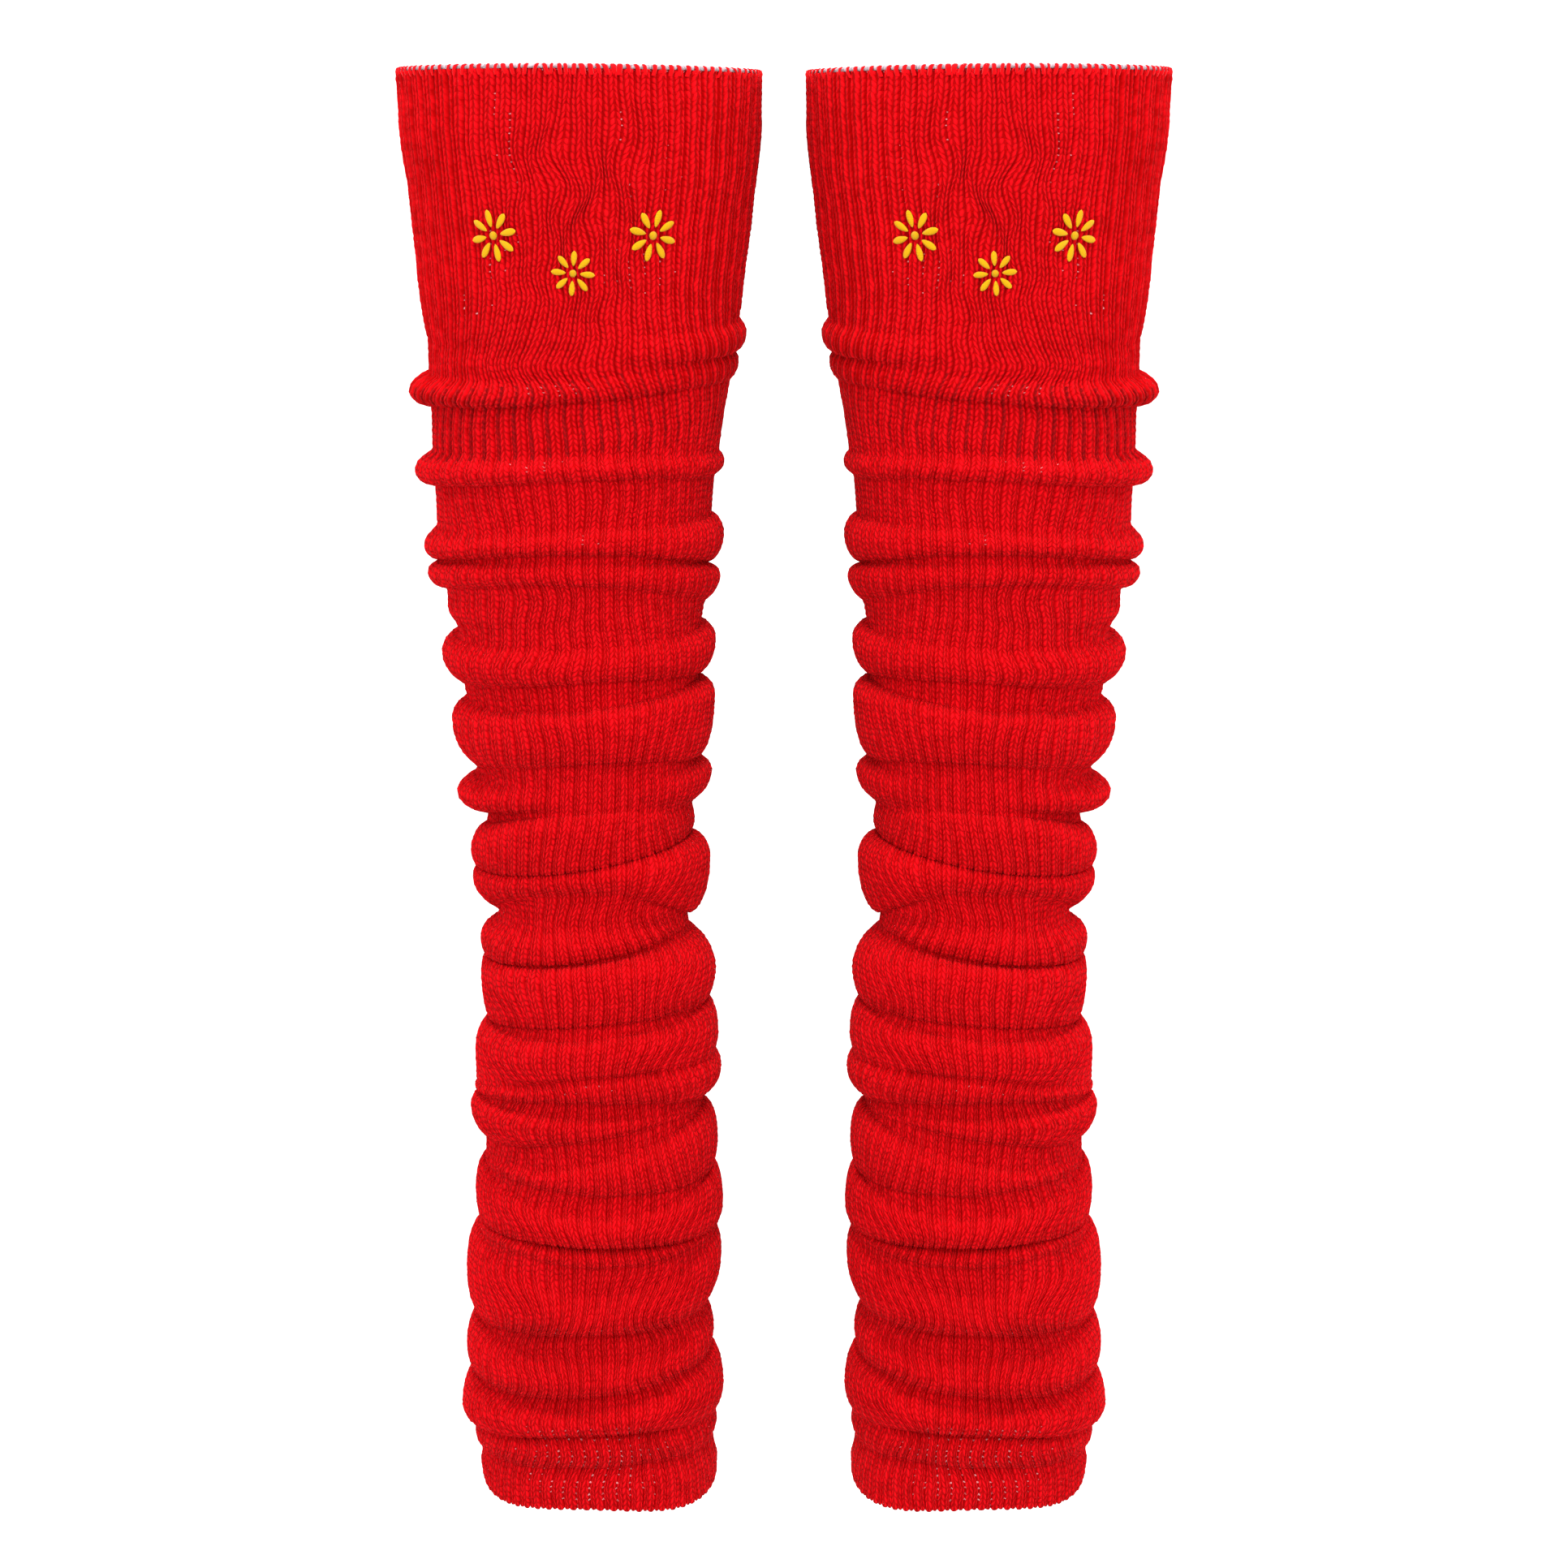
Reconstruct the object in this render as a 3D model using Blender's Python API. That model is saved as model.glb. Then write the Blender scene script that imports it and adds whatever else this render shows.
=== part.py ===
"""A pair of scrunched rib-knit leg warmers, filled out as worn and standing side by side.

Metres, +Z up, +X to the right as seen from the front, -Y to the front.
The origin lies midway between the two top openings, at the height of the rims.
Each leg warmer is one knitted tube, open at the rim and at the hem.
"""

import math
from collections import namedtuple

import bpy
import numpy as np

MM = 0.001
LEG_SPACING = 185.0 * MM
WALL = 2.5 * MM

# Mesh density: sides round the leg, stretches of each fold's slope, and rings kept from rim to hem
SIDES = 24
SLOPE_STEPS = 3
RINGS = 84

# Where a fold dies out, its shelf and lip soften below this reach
FULL_REACH = 3.0 * MM

# The hidden back of each ring takes the mean of its two sides, shifted by a slow swing down the leg, in mm
BACK_DEPTH_SWING = 3.5
BACK_DEPTH_WAVE = 11.0
BACK_RADIUS_SWING = 1.2
BACK_RADIUS_WAVE = 17.0

# Two lines that follow each other down the leg stay at least this far apart
LEAST_STEP = 1.0 * MM
LEAST_INNER_STEP = 0.3 * MM

# At a sharp bend the inner face lies at most this many walls away from the outer face
SHARPEST_BEND = 1.2
TINY = 1e-9

RED = (0.66, 0.008, 0.012, 1.0)
KNIT_ROUGHNESS = 0.9

Section = namedtuple("Section", "depth radius")
Fold = namedtuple("Fold", "name top ridge ridge_radius crease crease_radius shelf lip")

# The smooth band under the rim: depth below the rim and radius, each at the left, front and right, in mm
BAND = (
    Section((3, 0, 5), (83.3, 82.5, 82.2)),
    Section((28, 26, 28), (82.8, 82.0, 82.2)),
    Section((53, 52, 53), (79.6, 79.2, 79.6)),
    Section((76, 75, 76), (77.3, 76.6, 76.6)),
    Section((95, 95, 95), (76.3, 75.0, 74.4)),
)

# Each fold leaves the leg at its top, stands out furthest at its ridge and is tucked in at its crease.
# Depths of the three below the rim, and radii of the last two, are given at the left, front and right,
# in mm. Shelf and lip say how full the cloth is above and below the ridge there: 0 is a soft slope,
# 0.3 ends in a sharp crease, and more hangs over it.
FOLDS = (
    Fold("a", (118, 118, 115), (124, 124, 122), (72.3, 72.8, 75.2),
         (130, 131, 129), (71.9, 72.3, 69.8), (0.10, 0.10, 0.20), (0.30, 0.30, 0.35)),
    Fold("b", (139, 136, 130), (148, 142, 134), (81.3, 73.6, 71.4),
         (154, 147, 143), (71.2, 68.4, 67.2), (0.22, 0.05, 0.20), (0.40, 0.40, 0.20)),
    Fold("c", (175, 171, 176), (185, 177, 181), (79.2, 70.8, 64.3),
         (191, 182, 187), (69.9, 65.6, 59.8), (0.15, 0.05, 0.10), (0.40, 0.40, 0.20)),
    Fold("d", (210, 205, 207), (221, 211, 216), (75.9, 68.0, 63.8),
         (227, 216, 228), (68.4, 62.8, 55.9), (0.10, 0.15, 0.45), (0.40, 0.40, 0.30)),
    Fold("e", (228, 220, 229), (233, 225, 235), (74.7, 65.6, 62.3),
         (240, 230, 248), (66.0, 61.6, 54.4), (0.35, 0.20, 0.30), (0.40, 0.30, 0.12)),
    Fold("f", (243, 238, 250), (249, 243, 253), (65.4, 60.0, 53.7),
         (259, 251, 257), (61.0, 59.2, 52.8), (0.20, 0.10, 0.10), (0.05, 0.10, 0.10)),
    Fold("g", (262, 260, 258), (270, 269, 265), (69.0, 61.6, 60.3),
         (286, 276, 281), (58.4, 55.6, 51.4), (0.35, 0.15, 0.40), (0.15, 0.35, 0.25)),
    Fold("h", (293, 290, 284), (302, 295, 292), (64.9, 60.2, 59.8),
         (327, 314, 320), (52.3, 52.6, 49.8), (0.30, 0.40, 0.40), (0.16, 0.34, 0.42)),
    Fold("i", (328, 324, 321), (338, 331, 330), (63.3, 52.4, 57.7),
         (347, 337, 344), (47.4, 51.8, 48.2), (0.10, 0.00, 0.15), (0.35, 0.20, 0.15)),
    Fold("j", (354, 339, 345), (368, 346, 352), (56.9, 56.0, 49.2),
         (374, 365, 359), (53.0, 49.6, 47.2), (0.32, 0.40, 0.10), (0.40, 0.42, 0.30)),
    Fold("k", (375, 366, 360), (380, 371, 371), (56.3, 53.2, 56.8),
         (397, 378, 397), (44.0, 48.6, 45.7), (0.42, 0.35, 0.42), (0.20, 0.12, 0.42)),
    Fold("l", (398, 394, 399), (409, 403, 402), (53.2, 52.4, 46.4),
         (417, 410, 404), (50.0, 48.0, 46.0), (0.15, 0.05, 0.10), (0.30, 0.36, 0.20)),
    Fold("m", (418, 412, 405), (430, 419, 427), (53.6, 57.0, 59.4),
         (450, 440, 441), (48.4, 51.0, 54.6), (0.42, 0.42, 0.25), (0.28, 0.36, 0.25)),
    Fold("n", (451, 448, 442), (466, 454, 459), (57.1, 58.0, 60.4),
         (480, 465, 468), (56.7, 54.8, 59.2), (0.38, 0.40, 0.40), (0.30, 0.30, 0.30)),
    Fold("o", (482, 467, 469), (484, 472, 476), (57.3, 57.2, 61.8),
         (487, 478, 489), (55.0, 51.8, 52.4), (0.20, 0.20, 0.30), (0.36, 0.40, 0.25)),
    Fold("p", (488, 486, 490), (494, 490, 492), (59.5, 56.6, 52.5),
         (509, 497, 493), (52.0, 52.4, 52.4), (0.35, 0.30, 0.10), (0.20, 0.26, 0.10)),
    Fold("q", (515, 509, 494), (518, 515, 508), (52.2, 58.6, 59.8),
         (521, 523, 525), (52.6, 54.0, 56.4), (0.10, 0.30, 0.40), (0.10, 0.32, 0.30)),
    Fold("r", (522, 534, 526), (537, 542, 543), (58.2, 60.8, 62.3),
         (551, 549, 555), (55.6, 54.0, 57.8), (0.40, 0.25, 0.40), (0.30, 0.40, 0.30)),
    Fold("s", (552, 550, 556), (553, 554, 557), (56.0, 58.8, 58.2),
         (554, 559, 558), (56.4, 55.4, 58.4), (0.10, 0.20, 0.10), (0.10, 0.32, 0.10)),
    Fold("t", (555, 573, 559), (577, 586, 572), (63.7, 62.4, 61.6),
         (599, 593, 596), (57.2, 54.6, 53.6), (0.32, 0.15, 0.35), (0.25, 0.38, 0.12)),
    Fold("u", (600, 606, 597), (614, 617, 610), (64.1, 62.8, 57.8),
         (629, 624, 621), (59.6, 56.2, 55.4), (0.36, 0.15, 0.20), (0.20, 0.38, 0.10)),
    Fold("v", (630, 630, 622), (648, 637, 641), (67.1, 63.4, 62.3),
         (658, 643, 654), (60.8, 57.6, 58.2), (0.35, 0.20, 0.38), (0.18, 0.38, 0.14)),
    Fold("w", (659, 644, 655), (664, 652, 660), (60.4, 61.8, 58.4),
         (671, 660, 667), (57.0, 57.3, 56.2), (0.10, 0.25, 0.10), (0.10, 0.30, 0.10)),
)
HEM_FLARE = Section((679, 669, 679), (58.4, 60.2, 58.8))
HEM = Section((686, 681, 689), (57.2, 59.0, 58.2))
HEM_CORNER_DEPTH = 2.5 * MM
HEM_CORNER_RADIUS = 1.5 * MM


def around(values, swing, angles):
    """Carries values given at the left, front and right smoothly round the leg."""
    left, front, right = values
    back = (left + right) / 2 + swing
    mean = (left + front + right + back) / 4
    sideways = (right - left) / 2 * np.cos(angles)
    lengthways = (back - front) / 2 * np.sin(angles)
    oval = (left + right - front - back) / 4 * np.cos(2 * angles)
    return mean + sideways + lengthways + oval


def ring(depths, radii, angles):
    """One ring's depth and radius at each angle."""
    level = (depths[0] + depths[2]) / 2
    depth = around(depths, BACK_DEPTH_SWING * math.sin(level / BACK_DEPTH_WAVE), angles)
    radius = around(radii, BACK_RADIUS_SWING * math.sin(level / BACK_RADIUS_WAVE), angles)
    return depth * MM, radius * MM


def below(line, upper):
    """The same line, kept at least one step below the upper one."""
    return np.maximum(line[0], upper[0] + LEAST_STEP), line[1]


def flank(near, far, fullness, share):
    """A ring of the slope between a ridge and the line where it meets the cloth beside it."""
    out = (1 + math.cos(math.pi * share)) / 2
    full = fullness * np.clip((near[1] - far[1]) / FULL_REACH, 0, 1)
    along = share + full * math.sin(math.pi * share)
    depth = near[0] + (far[0] - near[0]) * along
    return depth, far[1] + (near[1] - far[1]) * out


def fold_rings(above, fold, angles):
    """The rings from just under one crease, over a ridge, and in to the next crease."""
    top = below(ring(fold.top, fold.ridge_radius, angles), above)
    ridge = below(ring(fold.ridge, fold.ridge_radius, angles), top)
    crease = below(ring(fold.crease, fold.crease_radius, angles), ridge)
    line = (crease[1] - above[1]) / (crease[0] - above[0])
    top = (top[0], above[1] + line * (top[0] - above[0]))
    shelf = around(fold.shelf, 0, angles)
    lip = around(fold.lip, 0, angles)
    found = [top]
    found += [flank(ridge, top, shelf, 1 - k / SLOPE_STEPS) for k in range(1, SLOPE_STEPS)]
    found.append(ridge)
    found += [flank(ridge, crease, lip, k / SLOPE_STEPS) for k in range(1, SLOPE_STEPS)]
    found.append(crease)
    return found


def strays(before, here, after):
    """How far a ring lies, where it lies furthest, from straight cloth between its neighbours."""
    down = after[0] - before[0]
    out = after[1] - before[1]
    across = (here[0] - before[0]) * out - (here[1] - before[1]) * down
    return np.max(np.abs(across) / np.maximum(np.hypot(down, out), TINY))


def thinned(rings):
    """The rings that shape the cloth most, once those that change it least have been left out."""
    kept = list(rings)
    while len(kept) > RINGS:
        change = [strays(*kept[k - 1:k + 2]) for k in range(1, len(kept) - 1)]
        del kept[1 + int(np.argmin(change))]
    return kept


def profile(angles):
    """Every ring of the cloth's outer face from the rim to the hem, as depths and radii."""
    rings = [ring(section.depth, section.radius, angles) for section in BAND]
    for fold in FOLDS:
        rings += fold_rings(rings[-1], fold, angles)
    rings.append(ring(HEM_FLARE.depth, HEM_FLARE.radius, angles))
    depth, radius = ring(HEM.depth, HEM.radius, angles)
    corner = np.sin(2 * angles) ** 2
    rings.append((depth + HEM_CORNER_DEPTH * corner, radius + HEM_CORNER_RADIUS * corner))
    rings = thinned(rings)
    return np.array([depth for depth, _ in rings]), np.array([radius for _, radius in rings])


def inner_face(depth, radius):
    """The same rings moved in by the wall, along the line that halves the bend at each ring.

    In a narrow fold each inner ring still stays below the one before it, so the face never crosses itself.
    """
    down = np.diff(depth, axis=0)
    out = np.diff(radius, axis=0)
    length = np.maximum(np.hypot(down, out), TINY)
    down = np.vstack((np.ones_like(down[:1]), down / length, np.ones_like(down[:1])))
    out = np.vstack((np.zeros_like(out[:1]), out / length, np.zeros_like(out[:1])))
    mid_down = down[:-1] + down[1:]
    mid_out = out[:-1] + out[1:]
    length = np.maximum(np.hypot(mid_down, mid_out), TINY)
    wall = WALL * np.minimum(2 / length, SHARPEST_BEND)
    wall[[0, -1]] = WALL
    mid_out[[0, -1]] = 0
    length[[0, -1]] = mid_down[[0, -1]]
    inner_depth = depth + wall * mid_out / length
    for row in range(1, len(depth)):
        inner_depth[row] = np.maximum(inner_depth[row], inner_depth[row - 1] + LEAST_INNER_STEP)
    return inner_depth, radius - wall * mid_down / length


def leg_warmer(name, centre_x, mirrored):
    """One knitted tube: an outer and an inner face, joined at the rim and at the hem."""
    angles = np.arange(SIDES) * 2 * math.pi / SIDES
    depth, radius = profile(angles)
    inner_depth, inner_radius = inner_face(depth, radius)
    count = len(depth)
    hand = -1 if mirrored else 1
    verts = []
    for rows, spread in ((depth, radius), (inner_depth, inner_radius)):
        for row in range(count):
            for side, angle in enumerate(angles):
                reach = spread[row, side]
                x = centre_x + hand * reach * math.cos(angle)
                verts.append((x, reach * math.sin(angle), -rows[row, side]))
    inner = count * SIDES
    faces = []
    for row in range(count - 1):
        for side in range(SIDES):
            a = row * SIDES + side
            b = row * SIDES + (side + 1) % SIDES
            faces.append((a, a + SIDES, b + SIDES, b))
            faces.append((inner + a, inner + b, inner + b + SIDES, inner + a + SIDES))
    last = (count - 1) * SIDES
    for side in range(SIDES):
        after = (side + 1) % SIDES
        faces.append((side, after, inner + after, inner + side))
        faces.append((last + side, inner + last + side, inner + last + after, last + after))
    if mirrored:
        faces = [tuple(reversed(face)) for face in faces]
    mesh = bpy.data.meshes.new(name)
    mesh.from_pydata(verts, [], faces)
    mesh.materials.append(knit_material())
    mesh.shade_smooth()
    made = bpy.data.objects.new(name, mesh)
    bpy.context.collection.objects.link(made)
    return made


def knit_material():
    """The red face of the knit."""
    name = "red_rib_knit"
    if name in bpy.data.materials:
        return bpy.data.materials[name]
    material = bpy.data.materials.new(name)
    material.use_nodes = True
    shader = material.node_tree.nodes["Principled BSDF"]
    shader.inputs["Base Color"].default_value = RED
    shader.inputs["Roughness"].default_value = KNIT_ROUGHNESS
    shader.inputs["Metallic"].default_value = 0.0
    return material


for old in list(bpy.data.objects):
    bpy.data.objects.remove(old)
leg_warmer("left_leg_warmer", -LEG_SPACING / 2, False)
leg_warmer("right_leg_warmer", LEG_SPACING / 2, True)
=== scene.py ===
"""The looks of a pair of scrunched rib-knit leg warmers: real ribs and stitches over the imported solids' form.

Metres, +Z up, +X to the right as seen from the front, -Y to the front.
Tables of depths and radii are in millimetres below the rim and out from each leg's axis.
"""

import math
from collections import namedtuple

import bpy
import numpy as np
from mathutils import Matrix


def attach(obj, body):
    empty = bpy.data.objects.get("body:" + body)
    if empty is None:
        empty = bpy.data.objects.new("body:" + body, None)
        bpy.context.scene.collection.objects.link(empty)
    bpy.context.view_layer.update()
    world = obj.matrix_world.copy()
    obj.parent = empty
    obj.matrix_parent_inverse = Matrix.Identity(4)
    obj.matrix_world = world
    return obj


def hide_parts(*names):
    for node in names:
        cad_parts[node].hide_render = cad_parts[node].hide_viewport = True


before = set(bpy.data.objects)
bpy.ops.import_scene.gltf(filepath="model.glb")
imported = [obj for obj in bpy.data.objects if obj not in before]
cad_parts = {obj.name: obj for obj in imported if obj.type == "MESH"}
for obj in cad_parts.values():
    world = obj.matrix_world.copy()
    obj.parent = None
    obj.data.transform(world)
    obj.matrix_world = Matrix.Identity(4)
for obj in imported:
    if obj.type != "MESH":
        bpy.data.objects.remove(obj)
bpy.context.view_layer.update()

MM = 0.001
LEG_SPACING = 185.0 * MM
WALL = 2.5 * MM

# The form is the solids' own, apart from slightly fuller lips and rim ends that are slightly higher
SLOPE_STEPS = 7
LIP_FULLER = 1.35
FULLEST_LIP = 0.44
FULL_REACH = 3.0 * MM
BACK_DEPTH_SWING = 3.5
BACK_DEPTH_WAVE = 11.0
BACK_RADIUS_SWING = 1.2
BACK_RADIUS_WAVE = 17.0
LEAST_STEP = 1.0 * MM
LEAST_INNER_STEP = 0.3 * MM
SHARPEST_BEND = 1.2
TINY = 1e-9
BASE_ANGLES = 480
FRONT = 1.5 * math.pi
BAND_RADIUS = 78.0 * MM
LEG_RADIUS = 60.0 * MM

Section = namedtuple("Section", "depth radius")
Fold = namedtuple("Fold", "name top ridge ridge_radius crease crease_radius shelf lip")

# The smooth band under the rim: depth and radius, each at the left, front and right
BAND = (
    Section((2, 0, 3), (83.3, 82.5, 82.2)),
    Section((28, 26, 28), (82.8, 82.0, 82.2)),
    Section((53, 52, 53), (79.6, 79.2, 79.6)),
    Section((76, 75, 76), (77.3, 76.6, 76.6)),
    Section((95, 95, 95), (76.3, 75.0, 74.4)),
)

# Each fold leaves the leg at its top, stands out furthest at its ridge and is tucked in at its crease.
# Each value is given at the left, front and right. Shelf and lip say how full the cloth is above and
# below the ridge there: 0 is a soft slope, 0.3 ends in a sharp crease, and more hangs over it.
FOLDS = (
    Fold("a", (118, 118, 115), (124, 124, 122), (72.3, 72.8, 75.2),
         (130, 131, 129), (71.9, 72.3, 69.8), (0.10, 0.10, 0.20), (0.30, 0.30, 0.35)),
    Fold("b", (139, 136, 130), (148, 142, 134), (81.3, 73.6, 71.4),
         (154, 147, 143), (71.2, 68.4, 67.2), (0.22, 0.05, 0.20), (0.40, 0.40, 0.20)),
    Fold("c", (175, 171, 176), (185, 177, 181), (79.2, 70.8, 64.3),
         (191, 182, 187), (69.9, 65.6, 59.8), (0.15, 0.05, 0.10), (0.40, 0.40, 0.20)),
    Fold("d", (210, 205, 207), (221, 211, 216), (75.9, 68.0, 63.8),
         (227, 216, 228), (68.4, 62.8, 55.9), (0.10, 0.15, 0.45), (0.40, 0.40, 0.30)),
    Fold("e", (228, 220, 229), (233, 225, 235), (74.7, 65.6, 62.3),
         (240, 230, 248), (66.0, 61.6, 54.4), (0.35, 0.20, 0.30), (0.40, 0.30, 0.12)),
    Fold("f", (243, 238, 250), (249, 243, 253), (65.4, 60.0, 53.7),
         (259, 251, 257), (61.0, 59.2, 52.8), (0.20, 0.10, 0.10), (0.05, 0.10, 0.10)),
    Fold("g", (262, 260, 258), (270, 269, 265), (69.0, 61.6, 60.3),
         (286, 276, 281), (58.4, 55.6, 51.4), (0.35, 0.15, 0.40), (0.15, 0.35, 0.25)),
    Fold("h", (293, 290, 284), (302, 295, 292), (64.9, 60.2, 59.8),
         (327, 314, 320), (52.3, 52.6, 49.8), (0.30, 0.40, 0.40), (0.16, 0.34, 0.42)),
    Fold("i", (328, 324, 321), (338, 331, 330), (63.3, 52.4, 57.7),
         (347, 337, 344), (47.4, 51.8, 48.2), (0.10, 0.00, 0.15), (0.35, 0.20, 0.15)),
    Fold("j", (354, 339, 345), (368, 346, 352), (56.9, 56.0, 49.2),
         (374, 365, 359), (53.0, 49.6, 47.2), (0.32, 0.40, 0.10), (0.40, 0.42, 0.30)),
    Fold("k", (375, 366, 360), (380, 371, 371), (56.3, 53.2, 56.8),
         (397, 378, 397), (44.0, 48.6, 45.7), (0.42, 0.35, 0.42), (0.20, 0.12, 0.42)),
    Fold("l", (398, 394, 399), (409, 403, 402), (53.2, 52.4, 46.4),
         (417, 410, 404), (50.0, 48.0, 46.0), (0.15, 0.05, 0.10), (0.30, 0.36, 0.20)),
    Fold("m", (418, 412, 405), (430, 419, 427), (53.6, 57.0, 59.4),
         (450, 440, 441), (48.4, 51.0, 54.6), (0.42, 0.42, 0.25), (0.28, 0.36, 0.25)),
    Fold("n", (451, 448, 442), (466, 454, 459), (57.1, 58.0, 60.4),
         (480, 465, 468), (56.7, 54.8, 59.2), (0.38, 0.40, 0.40), (0.30, 0.30, 0.30)),
    Fold("o", (482, 467, 469), (484, 472, 476), (57.3, 57.2, 61.8),
         (487, 478, 489), (55.0, 51.8, 52.4), (0.20, 0.20, 0.30), (0.36, 0.40, 0.25)),
    Fold("p", (488, 486, 490), (494, 490, 492), (59.5, 56.6, 52.5),
         (509, 497, 493), (52.0, 52.4, 52.4), (0.35, 0.30, 0.10), (0.20, 0.26, 0.10)),
    Fold("q", (515, 509, 494), (518, 515, 508), (52.2, 58.6, 59.8),
         (521, 523, 525), (52.6, 54.0, 56.4), (0.10, 0.30, 0.40), (0.10, 0.32, 0.30)),
    Fold("r", (522, 534, 526), (537, 542, 543), (58.2, 60.8, 62.3),
         (551, 549, 555), (55.6, 54.0, 57.8), (0.40, 0.25, 0.40), (0.30, 0.40, 0.30)),
    Fold("s", (552, 550, 556), (553, 554, 557), (56.0, 58.8, 58.2),
         (554, 559, 558), (56.4, 55.4, 58.4), (0.10, 0.20, 0.10), (0.10, 0.32, 0.10)),
    Fold("t", (555, 573, 559), (577, 586, 572), (63.7, 62.4, 61.6),
         (599, 593, 596), (57.2, 54.6, 53.6), (0.32, 0.15, 0.35), (0.25, 0.38, 0.12)),
    Fold("u", (600, 606, 597), (614, 617, 610), (64.1, 62.8, 57.8),
         (629, 624, 621), (59.6, 56.2, 55.4), (0.36, 0.15, 0.20), (0.20, 0.38, 0.10)),
    Fold("v", (630, 630, 622), (648, 637, 641), (67.1, 63.4, 62.3),
         (658, 643, 654), (60.8, 57.6, 58.2), (0.35, 0.20, 0.38), (0.18, 0.38, 0.14)),
    Fold("w", (659, 644, 655), (664, 652, 660), (60.4, 61.8, 58.4),
         (671, 660, 667), (57.0, 57.3, 56.2), (0.10, 0.25, 0.10), (0.10, 0.30, 0.10)),
)
HEM_FLARE = Section((679, 669, 679), (58.4, 60.2, 58.8))
HEM = Section((686, 681, 689), (57.2, 59.0, 58.2))

# Between its front, back and sides the hem's edge is this much lower and wider
HEM_CORNER_DEPTH = 2.5 * MM
HEM_CORNER_RADIUS = 1.5 * MM

# The outer face is knitted in one from rim to hem, and made here in four lengths that meet in creases
Length = namedtuple("Length", "name start end")
LENGTHS = (
    Length("band", "rim", "b"),
    Length("upper", "b", "g"),
    Length("middle", "g", "n"),
    Length("lower", "n", "hem"),
)
PAIRS = 54
COURSE = 2.95 * MM

# Across a pair of wales, a wide and a narrow one: where each column of points lies, and how far it
# stands out at the foot of a stitch and half a stitch further down, at its tip
SPLIT = 0.56
COLUMN_PLACE = np.array((0.0, 0.14, 0.28, 0.42, 0.56, 0.67, 0.78, 0.89))
COLUMN_FOOT = np.array((-0.9, 0.65, 0.2, 0.75, -2.6, 0.15, -0.05, 0.3))
COLUMN_TIP = np.array((-0.9, 0.4, 0.45, 0.5, -2.6, -0.05, 0.2, 0.1))
WALE_COLUMNS = len(COLUMN_PLACE) // 2
WALE_MIDDLES = COLUMN_PLACE[WALE_COLUMNS // 2::WALE_COLUMNS]
ALL_PLACES = (np.arange(PAIRS)[:, None] + COLUMN_PLACE).ravel()

# In the stretched band the columns differ by this much, so that a pair shows three ropes of stitches
SUNK_IN_BAND = np.array((-0.6, 0.0, -0.6, 0.0, -0.3, -0.9, -0.4, -1.0))
SUNK_DEPTHS = (95, 150)
SUNK_SHARES = (1, 0)

# What share of a pair its wide wale takes, at each depth
SPLIT_DEPTHS = (0, 100, 170, 690)
SPLIT_SHARES = (0.65, 0.65, 0.62, 0.62)

# How high the relief is, how much of it is by chance, and the low lumps under it: how high, and for each
# of their two waves its turns round the leg and its length
RELIEF = 0.6 * MM
UNEVEN = 0.14
SEED = 11
LUMP = 0.35 * MM
LUMP_TURNS = (5, 3)
LUMP_LONG = (9 * MM, 14 * MM)
LUMP_START = 1

# The two legs of a stitch, as ovals that lean towards the middle of their wale: half their length in
# courses, how far they lean and how far they climb, in the stretched band and below it. The change
# starts after so many courses and takes so many more.
Leg = namedtuple("Leg", "long lean climb")
BAND_LEG = Leg(0.70, 0.30, 0.30)
KNIT_LEG = Leg(0.68, 0.52, 0.16)
BAND_COURSES = 48
LEAN_CHANGES_OVER = 14

# Half a leg's width, how much higher its tip is than its foot, how steep its edge is, and how far the
# two legs of a stitch may be out of step
LEG_WIDE = 0.86
LEG_TILT = 0.22
LEG_ROUND = 1.1
OUT_OF_STEP = 0.5

# The groove between a pair's wales: half its width and its depth in the band, as relief and as painted
# shade in its colour; how much painted shade darkens the narrow wales, and how much darker the whole band is
GROOVE_HALF = 0.1
GROOVE_IN_BAND = 0.75
SUNK_PAINTED_SHADE = 0.03
BAND_SHADE = 0.08

# The band's sides, as the sine of the turn from its front: where they start and how slowly. There the
# stitches are longer and the grooves wider, and painted shade darkens the cloth, and its narrow wales more, by
# so much
SIDE_FROM = 0.66
SIDE_FADES_OVER = 0.2
SIDE_LONGER = 0.3
SIDE_GROOVE_WIDER = 0.8
SIDE_PAINTED_SHADE = 0.12
SIDE_SUNK_PAINTED_SHADE = 0.24

# Smooth unevenness: how fast it changes across the wales and down the courses, and how strong it is
Noise = namedtuple("Noise", "across down size")
SWAY = Noise(0.9, 0.45, 0.16)
SLIP = Noise(0.7, 0.5, 0.8)
GROOVE_NOISE = Noise(0.9, 0.03, 1.8)
CLOUD = Noise(0.22, 0.16, 0.1)
FIBRE = Noise(26.0, 9.0, 0.3)
YARN_FIBRE = Noise(9.0, 2.0, 0.3)
COARSE_DETAIL = 2.0
FINE_DETAIL = 3.0

# The knit's colour goes from painted shade in its gaps to its crest colour with its height, and is lighter or
# darker at random at each stitch
LIGHT_BY_HEIGHT = 0.85
LIGHT_IN_GAPS = 0.12
LIGHT_BY_STITCH = 0.26
KNIT_BUMP = 0.9 * MM
KNIT_ROUGHNESS = 0.9
KNIT_SHEEN = 0.03

# The white dots: half their height and width, what both gain where the knit is wide open, how sharp
# their edges are, how many courses open together and how much that counts, and how white they are
DOT_HIGH = 0.10
DOT_GAINS_HIGH = 0.03
DOT_WIDE = 0.02
DOT_GAINS_WIDE = 0.08
DOT_EDGE = 1.8
RUN_COURSES = 9.0
RUN_COUNTS = 0.4
FAINTEST_DOT = 0.1
WHITER_BY_CHANCE = 0.5
WHITER_IF_OPEN = 0.25

# Each chance is drawn at its own places, so that one doesn't follow another
RUN_DRAW = 13.0
DOT_DRAW = 57.0
WHITE_DRAW = 91.0

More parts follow.
